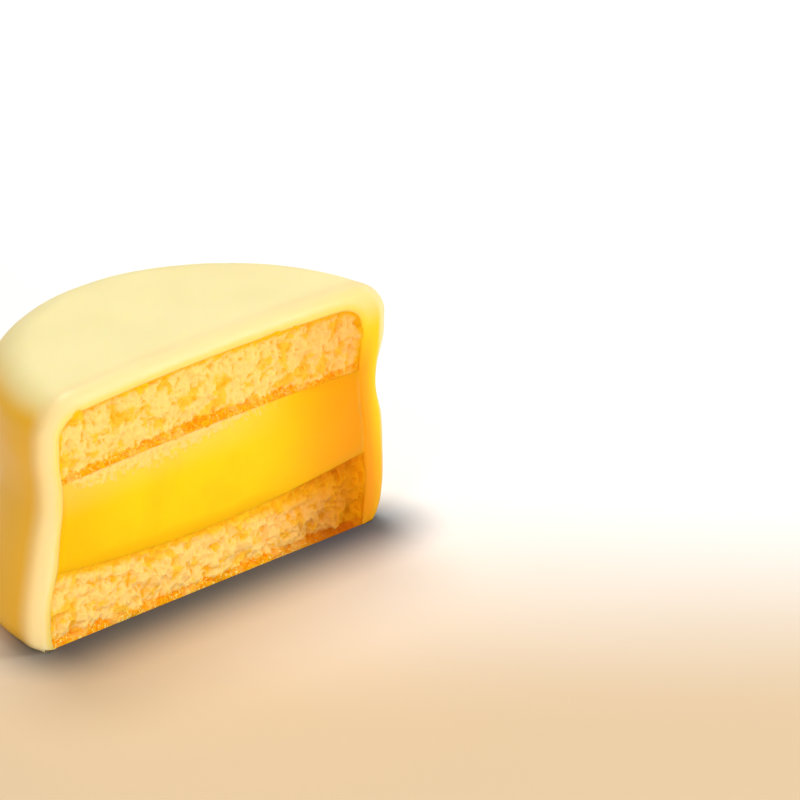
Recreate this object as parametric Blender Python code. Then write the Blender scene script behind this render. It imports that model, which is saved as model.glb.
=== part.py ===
"""Half of an alfajor, cut upright: two biscuits with a thick filling between them, in a smooth coating.

Metres, +Z up. The cut face looks along -Y and runs along X. The origin is the middle of the box's underside.
"""

import math

import bmesh
import bpy
from mathutils import Matrix, Vector, noise

MM = 0.001

# Outside of the coating: height, radius and how far the round has slid along X at that height
OUTSIDE = (
    (0.0, 26.65, -0.70),
    (0.5, 27.30, -0.70),
    (1.5, 27.95, -0.60),
    (3.2, 28.28, -0.50),
    (5.5, 28.35, -0.30),
    (9.5, 27.97, 0.05),
    (13.8, 27.40, 0.40),
    (17.4, 26.55, 0.40),
    (20.3, 26.67, 0.43),
    (23.6, 27.45, 0.73),
    (26.4, 27.49, 0.87),
)
SHOULDER_TOP = 30.94     # height at which the outside's rounded shoulder meets the top
SHOULDER_RUN = 5.2       # how far the shoulder reaches in towards the middle
SHOULDER_LEAN = 0.6      # the shoulder is this much rounder at the -X end and sharper at the +X end
DOME = 0.49              # rise of the top from its rim to its middle

# Hollow of the coating, which the biscuits and the filling share
HOLLOW = (
    (0.0, 25.10, -1.00),
    (1.0, 25.38, -1.05),
    (3.0, 25.60, -1.05),
    (6.0, 25.52, -0.95),
    (8.0, 25.25, -0.70),
    (10.0, 24.88, -0.42),
    (13.5, 24.60, -0.35),
    (17.4, 24.10, -0.30),
    (20.3, 24.07, -0.35),
    (23.0, 24.42, -0.40),
    (26.2, 24.50, -0.30),
)
HOLLOW_SHOULDER_TOP = 29.20
HOLLOW_SHOULDER_RUN = 4.2
HOLLOW_DOME = 0.55

# Where the layers meet
LOWER_FACE = 7.90        # top of the bottom biscuit, at its middle
LOWER_RISE = 1.75        # how much it turns up towards its rim
LOWER_CURVE = 1.8        # power of the radius by which it turns up
UPPER_FACE = 20.75       # underside of the top biscuit, at its middle
UPPER_FALL = 0.40        # how much it drops towards its rim
GAP = 0.30               # between pieces that touch

# Softened edge of the coating along the cut
LIP = 1.6                # how far back it reaches
LIP_DROP = 0.95          # how much it draws in at the cut itself
LIP_LEAN = 0.25          # share by which it is less at the +X end and more at the -X end
LIP_AT_BASE = 0.4        # share of the drop that is left at the base
LIP_FULL = 1.2           # height from which the drop is whole
FOOT = 1.3               # how far the coating spreads outwards at its lower corner at the -X end of the cut
FOOT_HEIGHT = 1.7
FOOT_DEPTH = 4.0         # how far behind the cut the foot fades out
FOOT_START, FOOT_RUN = -22.6, 3.0   # X at which the foot starts, and the run over which it grows

# Cut faces of the layers
CRUMB_DEPTH = 1.15       # deepest crags of the biscuits' cut faces
CRUMB_PROUD = 0.30       # how far the highest crumbs stand out of the cut
CRUMB_MEAN = 0.32        # share of the depth at which the crumb lies on average
CRAGS = (3.4, 2.6, 0.40, 0.0)     # width, height, share of the depth and seed step of the broad crags
LUMPS = (1.7, 1.4, 0.30, 9.0)     # the same for the lumps on them
PITS = (2.3, 1.8, 1.10, 21.0)     # the same for the pits
PIT_START = 0.12         # value of their noise from which pits open
TOP_SEED, BOTTOM_SEED = 3.0, 57.0
FILLING_BULGE = 0.45     # how far the filling stands out in the middle of its cut face
BULGE_CURVE = 0.7        # power that flattens the middle of the bulge

# How finely the rounds are divided
SECTORS = 28             # round the half turn
LIP_ANGLES = (0.7, 1.7, 3.2)        # degrees, extra divisions beside the cut
OUTER_WALL_STEPS, INNER_WALL_STEPS = 12, 10
WALL_CROWDING = 0.10     # how much the wall's divisions crowd towards its two ends
TOP_RINGS = 6
MIDDLE_RINGS = (1.25, 0.65, 0.25)   # radii, in lips, of the rings where the lip crosses the middle
SHOULDER_STEPS = 5
RINGS = 5                # of a layer's hidden flat faces
CUT_COLUMNS = 31         # of a layer's cut face, each side of the middle
STRAIGHT_ROWS, TURNED_ROWS = 7, 5   # of the top biscuit's wall, up to its shoulder and over it
FILLING_ROWS, BOTTOM_ROWS = 8, 10

# Finishes: colour and roughness
COATING_FINISH = ((0.98, 0.80, 0.42), 0.40)
BISCUIT_FINISH = ((0.93, 0.68, 0.32), 0.85)
FILLING_FINISH = ((0.98, 0.60, 0.03), 0.35)
SMOOTH_ANGLE = 35.0      # degrees between faces that still shade as one
WELD = 1e-5


def smooth_between(stations, z, column):
    """Value of one column of the stations at height z, on a smooth curve through them."""
    heights = [s[0] for s in stations]
    values = [s[column] for s in stations]
    if z <= heights[0]:
        return values[0]
    if z >= heights[-1]:
        return values[-1]
    i = max(k for k in range(len(heights) - 1) if heights[k] <= z)

    def slope(k):
        a, b = max(k - 1, 0), min(k + 1, len(heights) - 1)
        return (values[b] - values[a]) / (heights[b] - heights[a])

    run = heights[i + 1] - heights[i]
    t = (z - heights[i]) / run
    rise = values[i + 1] - values[i]
    start, end = slope(i) * run, slope(i + 1) * run
    return values[i] + t * (start + t * (3 * rise - 2 * start - end + t * (start + end - 2 * rise)))


def shell_profile(stations, wall_steps, top, run, dome):
    """Points (radius, height, slide) from the rim at the base, up the wall, over the shoulder and in to the middle."""
    last = stations[-1][0]
    points = []
    for k in range(wall_steps + 1):
        share = k / wall_steps
        z = last * (share - WALL_CROWDING * math.sin(2 * math.pi * share) / math.pi)
        points.append((smooth_between(stations, z, 1), z, smooth_between(stations, z, 2)))
    edge, slide = stations[-1][1], stations[-1][2]
    for k in range(1, SHOULDER_STEPS + 1):
        turn = 0.5 * math.pi * k / SHOULDER_STEPS
        points.append((edge - run * (1 - math.cos(turn)), last + (top - last) * math.sin(turn), slide))
    rim = edge - run
    radii = [rim * (1 - k / TOP_RINGS) for k in range(1, TOP_RINGS)]
    radii += [LIP * share for share in MIDDLE_RINGS] + [0.0]
    for radius in radii:
        share = radius / rim
        points.append((radius, top + dome * (1 - share * share), slide * share))
    return points


def half_turn():
    """Angles from the +X end of the cut round to its -X end."""
    fine = [math.radians(a) for a in LIP_ANGLES]
    even = [math.pi * k / SECTORS for k in range(1, SECTORS)]
    return [0.0] + fine + even + [math.pi - a for a in reversed(fine)] + [math.pi]


def profile_normals(profile):
    """Outward direction (radial, up) at each point of a profile."""
    result = []
    for k in range(len(profile)):
        a, b = profile[max(k - 1, 0)], profile[min(k + 1, len(profile) - 1)]
        step = Vector((b[0] - a[0], b[1] - a[1])).normalized()
        result.append(Vector((step.y, -step.x)))
    result[-1] = Vector((0, 1))
    return result


def lip_inset(x, depth, z):
    """How far the coating's outside draws in at this depth behind the cut, for its softened edge."""
    at_base = min(1.0, LIP_AT_BASE + (1 - LIP_AT_BASE) * z / LIP_FULL)
    lean = 1 - LIP_LEAN * x / OUTSIDE[-1][1]
    return LIP_DROP * max(0.0, 1 - depth / LIP) ** 2 * at_base * lean


def foot_spread(x, depth, z):
    """How far the coating spreads outwards at its lower corner at the -X end of the cut."""
    growth = min(1.0, max(0.0, (FOOT_START - x) / FOOT_RUN))
    return FOOT * growth * max(0.0, 1 - depth / FOOT_DEPTH) * math.exp(-(z / FOOT_HEIGHT) ** 2)


def strip(bm, first, second):
    """Faces between two chains of vertices that run the same way and may differ in number."""
    i = j = 0
    while i < len(first) - 1 or j < len(second) - 1:
        next_i = (i + 1) / (len(first) - 1) if i < len(first) - 1 else 2.0
        next_j = (j + 1) / (len(second) - 1) if j < len(second) - 1 else 2.0
        corners = [first[i], second[j]]
        if next_j <= next_i + 1e-9:
            j += 1
            corners.append(second[j])
        if next_i <= next_j + 1e-9:
            i += 1
            corners.append(first[i])
        unique = [v for n, v in enumerate(corners) if v not in corners[:n]]
        if len(unique) > 2:
            bm.faces.new(unique)


def finish(bm, name, colour, roughness):
    """Turns the bmesh into a named object with its material, in metres."""
    bmesh.ops.remove_doubles(bm, verts=bm.verts, dist=WELD)
    bmesh.ops.triangulate(bm, faces=bm.faces)
    bmesh.ops.recalc_face_normals(bm, faces=bm.faces)
    bm.transform(Matrix.Scale(MM, 4))
    mesh = bpy.data.meshes.new(name)
    bm.to_mesh(mesh)
    bm.free()
    material = bpy.data.materials.new(name)
    material.use_nodes = True
    shader = material.node_tree.nodes["Principled BSDF"]
    shader.inputs["Base Color"].default_value = (*colour, 1.0)
    shader.inputs["Roughness"].default_value = roughness
    mesh.materials.append(material)
    mesh.shade_smooth()
    mesh.set_sharp_from_angle(angle=math.radians(SMOOTH_ANGLE))
    piece = bpy.data.objects.new(name, mesh)
    bpy.context.scene.collection.objects.link(piece)
    return piece


def make_coating():
    """The shell: a dome over the biscuits, open underneath, cut through the middle with a softened outer edge."""
    bm = bmesh.new()
    outer = shell_profile(OUTSIDE, OUTER_WALL_STEPS, SHOULDER_TOP, SHOULDER_RUN, DOME)
    inner = shell_profile(HOLLOW, INNER_WALL_STEPS, HOLLOW_SHOULDER_TOP, HOLLOW_SHOULDER_RUN, HOLLOW_DOME)
    normals = profile_normals(outer)
    half_gap = 0.5 * GAP
    outer_chains, inner_chains = [], []
    for angle in half_turn():
        across, back = math.cos(angle), math.sin(angle)
        chain = []
        for (radius, z, slide), normal in zip(outer, normals):
            shoulder = max(0.0, (z - OUTSIDE[-1][0]) / (SHOULDER_TOP - OUTSIDE[-1][0]))
            reach = radius + min(shoulder, 1.0) * SHOULDER_LEAN * across * radius / OUTSIDE[-1][1]
            inset = lip_inset(reach * across, reach * back, z)
            reach -= inset * normal.x
            point = Vector((slide + reach * across, reach * back, max(z - inset * normal.y, 0.0)))
            point.x -= foot_spread(point.x, point.y, z)
            chain.append(bm.verts.new(point))
        outer_chains.append(chain)
        chain = []
        for radius, z, slide in inner:
            reach = radius + min(radius, half_gap)
            lift = half_gap if z > HOLLOW[-1][0] else 0.0
            chain.append(bm.verts.new((slide + reach * across, reach * back, z + lift)))
        inner_chains.append(chain)
    for a, b in zip(outer_chains, outer_chains[1:]):
        strip(bm, a, b)
    for a, b in zip(inner_chains, inner_chains[1:]):
        strip(bm, a, b)

    for a, b, c, d in zip(outer_chains, outer_chains[1:], inner_chains, inner_chains[1:]):
        bm.faces.new((a[0], b[0], d[0], c[0]))
    strip(bm, outer_chains[0], inner_chains[0])
    strip(bm, outer_chains[-1], inner_chains[-1])
    return finish(bm, "coating", *COATING_FINISH)


def swell(form, x, z, seed):
    """Noise of one form of the crumb at a place on the cut face."""
    width, height, _, seed_step = form
    return noise.noise(Vector((x / width, z / height, seed + seed_step)))


def crumb(x, z, seed):
    """How far the torn crumb stands back at a place on the cut face."""
    crags, lumps = CRAGS[2] * swell(CRAGS, x, z, seed), LUMPS[2] * swell(LUMPS, x, z, seed)
    pits = PITS[2] * max(0.0, swell(PITS, x, z, seed) - PIT_START)
    depth = min(1.0, max(0.0, CRUMB_MEAN + crags + lumps + pits))
    return CRUMB_DEPTH * depth - CRUMB_PROUD


def bulge(height_share):
    """How far the filling's cut face stands back, less than nothing where it stands out."""
    return -FILLING_BULGE * math.sin(math.pi * height_share) ** BULGE_CURVE


def make_layer(name, low, high, wall_heights, relief, colour, roughness):
    """A half round that fills the hollow between two faces.

    low and high give the height of its lower and upper face at a share of the radius, wall_heights the shares of
    its height at which its wall is divided, and relief how far its cut face stands back at x, z and a height share.
    """
    bm = bmesh.new()
    angles = [math.pi * k / SECTORS for k in range(SECTORS + 1)]

    def place(share, height_share, angle):
        z = low(share) + height_share * (high(share) - low(share))
        rim = low(1.0) + height_share * (high(1.0) - low(1.0))
        radius = share * (hollow_radius(rim) - 0.5 * GAP)
        slide = smooth_between(HOLLOW, z, 2)
        return Vector((slide + radius * math.cos(angle), radius * math.sin(angle), z))

    def flat_chain(height_share, angle, count):
        return [bm.verts.new(place(k / count, height_share, angle)) for k in range(count + 1)]

    def wall_chain(angle, heights):
        return [bm.verts.new(place(1.0, t, angle)) for t in heights]

    coarse = wall_heights[::2] if len(wall_heights) % 2 else wall_heights
    for side in (0.0, 1.0):
        chains = [flat_chain(side, a, RINGS if 0 < n < SECTORS else CUT_COLUMNS) for n, a in enumerate(angles)]
        for a, b in zip(chains, chains[1:]):
            strip(bm, a, b)
    walls = [wall_chain(a, coarse if 0 < n < SECTORS else wall_heights) for n, a in enumerate(angles)]
    for a, b in zip(walls, walls[1:]):
        strip(bm, a, b)
    columns = []
    for c in range(-CUT_COLUMNS, CUT_COLUMNS + 1):
        share, angle = abs(c) / CUT_COLUMNS, 0.0 if c >= 0 else math.pi
        column = []
        for n, t in enumerate(wall_heights):
            point = place(share, t, angle)
            inside = 0 < n < len(wall_heights) - 1 and share < 1.0
            point.y = relief(point.x, point.z, t) if inside else 0.0
            column.append(bm.verts.new(point))
        columns.append(column)
    for a, b in zip(columns, columns[1:]):
        strip(bm, a, b)
    return finish(bm, name, colour, roughness)


def hollow_radius(z):
    """Radius of the coating's hollow at height z, over its shoulder too."""
    edge = HOLLOW[-1][0]
    if z <= edge:
        return smooth_between(HOLLOW, z, 1)
    climb = min(1.0, (z - edge) / (HOLLOW_SHOULDER_TOP - edge))
    return HOLLOW[-1][1] - HOLLOW_SHOULDER_RUN * (1 - math.sqrt(1 - climb * climb))


def lower_face(share):
    """Where the bottom biscuit and the filling meet, at a share of the radius."""
    return LOWER_FACE + LOWER_RISE * share ** LOWER_CURVE


def upper_face(share):
    """Where the filling and the top biscuit meet, at a share of the radius."""
    return UPPER_FACE - UPPER_FALL * share ** 2


def roof(share):
    """Top of the top biscuit, under the coating, at a share of the radius."""
    return HOLLOW_SHOULDER_TOP + HOLLOW_DOME * (1 - share ** 2) - 0.5 * GAP


def even_shares(count):
    return [k / count for k in range(count + 1)]


def rounded_shares(count, steps):
    """Shares of the height that are even up to the shoulder and then follow its turn."""
    height = roof(1.0) - upper_face(1.0)
    start = (HOLLOW[-1][0] - upper_face(1.0)) / height
    below = [start * k / count for k in range(count)]
    over = [start + (1 - start) * math.sin(0.5 * math.pi * k / steps) for k in range(steps + 1)]
    return below + over


def make_top_biscuit():
    return make_layer("top_biscuit", lambda s: upper_face(s) + 0.5 * GAP, roof,
                      rounded_shares(STRAIGHT_ROWS, TURNED_ROWS), lambda x, z, t: crumb(x, z, TOP_SEED),
                      *BISCUIT_FINISH)


def make_filling():
    return make_layer("filling", lambda s: lower_face(s) + 0.5 * GAP, lambda s: upper_face(s) - 0.5 * GAP,
                      even_shares(FILLING_ROWS), lambda x, z, t: bulge(t), *FILLING_FINISH)


def make_bottom_biscuit():
    return make_layer("bottom_biscuit", lambda s: 0.0, lambda s: lower_face(s) - 0.5 * GAP,
                      even_shares(BOTTOM_ROWS), lambda x, z, t: crumb(x, z, BOTTOM_SEED), *BISCUIT_FINISH)


def build():
    """Makes the four pieces and puts the origin under the middle of their box."""
    for old in list(bpy.data.objects):
        bpy.data.objects.remove(old)
    pieces = [make_coating(), make_top_biscuit(), make_filling(), make_bottom_biscuit()]
    corners = [v.co for piece in pieces for v in piece.data.vertices]
    low = Vector([min(c[k] for c in corners) for k in range(3)])
    high = Vector([max(c[k] for c in corners) for k in range(3)])
    origin = Vector(((low.x + high.x) / 2, (low.y + high.y) / 2, low.z))
    for piece in pieces:
        piece.data.transform(Matrix.Translation(-origin))


build()
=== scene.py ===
"""Looks of one half of a coated alfajor: coating, torn crumb, filling, pale floor, lamps and camera."""

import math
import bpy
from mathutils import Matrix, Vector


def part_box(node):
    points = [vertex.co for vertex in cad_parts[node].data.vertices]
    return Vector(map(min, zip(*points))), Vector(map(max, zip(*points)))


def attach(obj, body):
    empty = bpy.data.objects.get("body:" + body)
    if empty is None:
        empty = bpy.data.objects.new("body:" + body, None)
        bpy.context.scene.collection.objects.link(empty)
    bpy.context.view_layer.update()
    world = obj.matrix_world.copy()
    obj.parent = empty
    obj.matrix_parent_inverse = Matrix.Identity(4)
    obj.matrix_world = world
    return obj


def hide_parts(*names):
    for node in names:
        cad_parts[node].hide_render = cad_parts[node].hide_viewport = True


bl_info = {
    "name": "Alfajor half",
    "version": (1, 0, 0),
    "blender": (4, 5, 0),
    "location": "3D View > Sidebar > Alfajor",
    "description": "Models one half of a coated alfajor, cut upright, with its finishes and a plain studio",
    "category": "Object",
}

import bmesh
import bpy
import numpy as np
from bpy.props import FloatProperty, FloatVectorProperty, IntProperty, PointerProperty
from mathutils import Matrix, Vector

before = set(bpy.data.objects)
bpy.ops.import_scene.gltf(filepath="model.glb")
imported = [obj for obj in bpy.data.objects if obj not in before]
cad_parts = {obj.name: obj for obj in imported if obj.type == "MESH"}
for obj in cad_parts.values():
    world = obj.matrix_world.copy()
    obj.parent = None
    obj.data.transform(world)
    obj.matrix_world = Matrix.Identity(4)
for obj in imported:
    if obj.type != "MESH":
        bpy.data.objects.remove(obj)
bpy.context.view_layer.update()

MM = 0.001
CUT_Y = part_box("coating")[0].y   # the plane of the cut, which looks along -Y
AXIS_X = 0.2632 * MM             # the round's middle, to the right of the box's middle

# Outside and hollow of the coating, in mm: height, radius, and how far the round has slid
# along X at that height
OUTSIDE = (
    (0.0, 26.65, -0.70), (0.5, 27.30, -0.70), (1.5, 27.95, -0.60), (3.2, 28.28, -0.50),
    (5.5, 28.35, -0.30), (9.5, 27.97, 0.05), (13.8, 27.40, 0.40), (17.4, 26.55, 0.40),
    (20.3, 26.67, 0.43), (23.6, 27.45, 0.73), (26.4, 27.49, 0.87),
)
HOLLOW = (
    (0.0, 25.10, -1.00), (1.0, 25.38, -1.05), (3.0, 25.60, -1.05), (6.0, 25.52, -0.95),
    (8.0, 25.25, -0.70), (10.0, 24.88, -0.42), (13.5, 24.60, -0.35), (17.4, 24.10, -0.30),
    (20.3, 24.07, -0.35), (23.0, 24.42, -0.40), (26.2, 24.50, -0.30),
)
WALL_TOP, WALL_RADIUS = OUTSIDE[-1][:2]

# Shoulders above the walls, in mm: height of the top, reach inwards, rise from there to the middle
OUTSIDE_TOP, OUTSIDE_RUN, OUTSIDE_DOME = 30.94, 5.2, 0.49
HOLLOW_TOP, HOLLOW_RUN, HOLLOW_DOME = 29.20, 4.2, 0.55
SHOULDER_LEAN = 0.6   # mm further out at +X, where the shoulder is sharper, and further in at -X

# Faces between the layers, in mm: height in the middle, change at the wall, power of that change
LOWER_FACE, LOWER_RISE, LOWER_POWER = 7.90, 1.75, 1.8
UPPER_FACE, UPPER_FALL, UPPER_POWER = 20.75, 0.40, 2

# Points and steps of the coating's mesh
WALL_POINTS, SHOULDER_POINTS, TOP_POINTS, RIM_POINTS = 48, 14, 14, 5
WALL_CROWDING = 0.10     # of the wall's points towards its two ends
MIDDLE_RADII = (3.2, 2.3, 1.7, 1.25, 0.9, 0.6, 0.35, 0.15)   # last rings of the top, in mm
START_RADIUS = 28 * MM   # of the circle that is shaped into the section
TURN_STEPS = 150
TURN_CROWDING = 0.46     # of the turn's steps towards the cut
MERGE_DISTANCE = 0.001 * MM

# The coating's edge along the cut, and its foot at the lower left corner
SHELL_OVERLAP = 0.25               # mm by which the hollow is tighter, so that no gap shows
LIP_POWER = 2.6                    # how suddenly the soft edge draws in at the cut
LIP_LEAN = 0.25                    # share by which it draws in less at +X and more at -X
LIP_ON_FLOOR, LIP_RISE = 0.4, 2 * MM   # share of it on the floor, and how fast it grows above
RIM_FORWARD = 0.10 * MM            # how far the flat rim stands in front of the cut
FOOT_HEIGHT, FOOT_DEPTH = 1.7 * MM, 4 * MM
FOOT_FROM, FOOT_RUN = 22 * MM, 3 * MM   # begins this far to the left, and is full after this run
FOOT_BORDER = 2.5                  # mm from the hollow in which the foot fades out
WOBBLE_SIZE = 11 * MM

# The cut faces of the layers
CUT_TILT, CUT_DEPTH = -0.35, 1.3 * MM   # a face of the cut is turned and placed within these
GROWN_FROM = 8 * MM                # radius from which a layer grows by its whole overlap
BORDER_FORWARD = 0.03 * MM         # how far the filling's border stands in front of the cut
LEAST_WEIGHT = 0.001
OUTLINE_POINTS = 900               # on each half of the hollow's outline, to measure from
BATCH = 20000                      # places measured at a time

# The biscuits: node, piece, browned line, golden layer, and how far in mm the noise is shifted
BISCUITS = (
    ("top_biscuit", "top_crumb", (0.10, 0.50, 0.75, 0.45), None, 0.0),
    ("bottom_biscuit", "bottom_crumb", (0.10, 0.0, 0.90, 1.0), (1.2, 3.4), 37.0),
)

# Lamps: name, place, power in watts and size in metres; all of them aim at one point
LAMPS = (
    ("window", (0.32, -0.205, 0.33), 0.8, 0.16),
    ("front", (-0.13, -0.475, 0.085), 1.15, 0.16),
    ("side", (-0.37, -0.16, 0.17), 0.40, 0.16),
    ("overhead", (0.14, 0.22, 0.46), 1.22, 0.22),
)
LAMP_AIM = (0, 0, 15 * MM)
SKY_COLOUR, SKY_STRENGTH = (1.0, 0.96, 0.90, 1), 0.36
FLOOR_SIDE, FLOOR_DROP = 6.0, 0.02 * MM

# The photograph's camera, found from the outline of the cut and of the round back
VIEW_AZIMUTH, VIEW_ELEVATION = -44.13, 24.02
VIEW_DISTANCE = 0.9755
VIEW_FOCAL_PX = 8204.7
IMAGE_SIDE_PX = 800
AIM_POINT = (AXIS_X, CUT_Y + 12.678 * MM, 15.47 * MM)
AIM_PX = (143.0, 433.0)
SENSOR_MM = 36.0


def srgb(red, green, blue):
    """Linear colour of an 8-bit sRGB one."""
    shares = [channel / 255 for channel in (red, green, blue)]
    return tuple(((c + 0.055) / 1.055) ** 2.4 if c > 0.04 else c / 12.92 for c in shares)


# Colours of small areas and of painted shade, beside the ones that the panel shows
EDGE_BY_CRUMB = srgb(255, 210, 50)     # coating's edge, right beside the crumb
# Painted shade at the coating's right end along the cut: its inner side high up, and the middle of that
# strip
STRIP_HIGH = srgb(255, 203, 22)        # inner side of the coating's right end, high up
STRIP_MIDDLE = srgb(255, 198, 6)       # middle of that strip
SUGAR = srgb(255, 222, 120)            # pale grains in the browned lines
# Painted shade of the lower crumb under the filling's overhanging edge, deeper at the right end
PAINTED_SHADE_UNDER_FILLING = srgb(238, 150, 0)               # lower crumb along the filling
PAINTED_SHADE_UNDER_FILLING_END = srgb(196, 102, 0)           # the same at the right end
# Painted shade at the right end: the lower crumb beside the coating, and the lower browned line
PAINTED_SHADE_BY_STRIP = srgb(232, 143, 0)     # lower crumb beside the coating's right end
SHADED_BROWNED_END = srgb(185, 86, 0)         # lower browned line at the right end
# Painted shade of the filling beside the coating's right end, a lighter amber
SHADED_FILLING_BORDER = srgb(255, 160, 0)     # filling beside the coating's right end
FLOOR_BEHIND = srgb(255, 255, 255)
FLOOR_IN_FRONT = srgb(225, 198, 160)
FLOOR_UNDER_CUT = srgb(50, 68, 84)     # soft shade where the half stands


class AlfajorSizes(bpy.types.PropertyGroup):
    """Sizes that change how the half looks without changing how big it is."""

    lip_reach: FloatProperty(
        name="Soft edge", description="How far back the coating's rounded edge along the cut reaches",
        default=2.3 * MM, min=0.0, unit="LENGTH")
    lip_drop: FloatProperty(
        name="Soft edge drop", description="How much the coating draws in at the cut itself",
        default=0.95 * MM, min=0.0, unit="LENGTH")
    foot: FloatProperty(
        name="Foot", description="How far the coating spreads at its lower left corner",
        default=0.8 * MM, min=0.0, unit="LENGTH")
    wobble: FloatProperty(
        name="Wobble", description="Unevenness of the hand-dipped coating",
        default=0.22 * MM, min=0.0, unit="LENGTH")
    crag_height: FloatProperty(
        name="Crags", description="Height of the crumb's broad crags",
        default=0.70 * MM, min=0.0, unit="LENGTH")
    chunk_height: FloatProperty(
        name="Lumps", description="Height of the crumb's lumps",
        default=0.38 * MM, min=0.0, unit="LENGTH")
    grain_height: FloatProperty(
        name="Grain", description="Height of the crumb's fine grain",
        default=0.10 * MM, min=0.0, unit="LENGTH")
    recess: FloatProperty(
        name="Crumb recess", description="How far the crumb stands back behind the coating's edge",
        default=0.12 * MM, min=0.0, unit="LENGTH")
    overlap: FloatProperty(
        name="Overlap", description="How far the layers reach into each other, as they stick together",
        default=0.24 * MM, min=0.0, unit="LENGTH")
    cuts: IntProperty(
        name="Fineness", description="Cuts in each edge of the solids' cut faces",
        default=9, min=1, max=10)


class AlfajorColours(bpy.types.PropertyGroup):
    """Colours of the finishes and of the painted shade."""

    coating: FloatVectorProperty(
        name="Coating", description="Pale top of the coating",
        default=srgb(255, 235, 172), subtype="COLOR", size=3, min=0, max=1)
    # Painted shade: the coating is pale all over, and this deeper colour stands for the shade on its walls
    coating_shaded_wall: FloatVectorProperty(
        name="Coating, deep", description="Thicker walls of the coating",
        default=srgb(252, 190, 44), subtype="COLOR", size=3, min=0, max=1)
    # Pale edge along the cut, painted as lit by the front light, free of the painted wall shade
    coating_edge: FloatVectorProperty(
        name="Coating, edge", description="Soft edge along the cut",
        default=srgb(253, 219, 156), subtype="COLOR", size=3, min=0, max=1)
    # Painted shade and warm bounce light in the coating's right end along the cut
    coating_amber_shade: FloatVectorProperty(
        name="Coating, amber", description="Where light soaks through the cut edge",
        default=srgb(255, 158, 0), subtype="COLOR", size=3, min=0, max=1)
    crumb: FloatVectorProperty(
        name="Crumb", description="Pale lumps of the crumb",
        default=srgb(253, 206, 118), subtype="COLOR", size=3, min=0, max=1)
    # Deeper colour of the crumb's gaps, also used as painted shade in its pits and along the coating
    crumb_deep_and_shade: FloatVectorProperty(
        name="Crumb, deep", description="Gaps and pits of the crumb",
        default=srgb(251, 186, 14), subtype="COLOR", size=3, min=0, max=1)
    baked: FloatVectorProperty(
        name="Baked", description="Browned faces of the biscuits",
        default=srgb(254, 176, 12), subtype="COLOR", size=3, min=0, max=1)
    baked_dark: FloatVectorProperty(
        name="Baked, dark", description="Darkest grains of the browned faces",
        default=srgb(250, 134, 2), subtype="COLOR", size=3, min=0, max=1)
    filling: FloatVectorProperty(
        name="Filling", description="Smooth filling",
        default=srgb(255, 203, 14), subtype="COLOR", size=3, min=0, max=1)
    # Deeper filling, also used as painted shade at the right end and along the base
    filling_deep_and_shade: FloatVectorProperty(
        name="Filling, deep", description="Filling towards its ends",
        default=srgb(250, 165, 0), subtype="COLOR", size=3, min=0, max=1)
    shade_end: FloatVectorProperty(
        name="Shaded end", description="Crumb at the right end of the cut",
        default=srgb(200, 121, 0), subtype="COLOR", size=3, min=0, max=1)


def select_only(piece):
    """Makes this the one selected and active object."""
    bpy.ops.object.select_all(action="DESELECT")
    piece.select_set(True)
    bpy.context.view_layer.objects.active = piece


def points_of(piece):
    """The mesh's vertices as an array."""
    points = np.empty(len(piece.data.vertices) * 3)
    piece.data.vertices.foreach_get("co", points)
    return points.reshape(-1, 3)


def set_points(piece, points):
    """Moves the mesh's vertices."""
    piece.data.vertices.foreach_set("co", np.asarray(points, float).ravel())
    piece.data.update()


def store(piece, name, values):
    """Keeps one number for each vertex, for the material to read."""
    attribute = piece.data.attributes.get(name) or piece.data.attributes.new(name, "FLOAT", "POINT")
    attribute.data.foreach_set("value", np.asarray(values, np.float32))


def stored(piece, name):
    """The number kept for each vertex."""
    values = np.empty(len(piece.data.vertices), np.float32)
    piece.data.attributes[name].data.foreach_get("value", values)
    return values


def choose(piece, pick_faces=None, pick_edges=None, pick_points=None):
    """Selects the faces, edges or vertices that a rule picks, and enters edit mode on them."""
    mesh = bmesh.new()
    mesh.from_mesh(piece.data)
    for item in (*mesh.faces, *mesh.edges, *mesh.verts):
        item.select = False
    if pick_faces:
        items, rule = mesh.faces, pick_faces
    elif pick_edges:
        items, rule = mesh.edges, pick_edges
    else:
        items, rule = mesh.verts, pick_points
    chosen = [item for item in items if rule(item)]
    for item in chosen:
        item.select_set(True)
    mesh.to_mesh(piece.data)
    mesh.free()
    bpy.context.tool_settings.mesh_select_mode = (pick_points is not None, pick_edges is not None,
                                                  pick_faces is not None)
    bpy.ops.object.mode_set(mode="EDIT")


def displace(piece, name, kind, size, strength, middle=0.5, direction="Y", group="", **settings):
    """Applies one Displace modifier with a procedural texture of this size."""
    texture = bpy.data.textures.new(name, kind)
    for key, value in settings.items():
        setattr(texture, key, value)
    texture.noise_scale = size
    modifier = piece.modifiers.new(name, "DISPLACE")
    modifier.texture = texture
    modifier.texture_coords = "LOCAL"
    modifier.direction = direction
    modifier.strength = strength
    modifier.mid_level = middle
    modifier.vertex_group = group
    select_only(piece)
    bpy.ops.object.modifier_apply(modifier=name)


def weight_by(piece, name, weights):
    """Makes a vertex group with these weights."""
    group = piece.vertex_groups.new(name=name)
    for index, weight in enumerate(weights):
        if weight > LEAST_WEIGHT:
            group.add((index,), float(weight), "REPLACE")


def fade(distance, reach, least=0.0):
    """Share that grows with the distance: whole at this reach, and never below the least."""
    return np.clip(distance / reach, least, 1)


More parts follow.
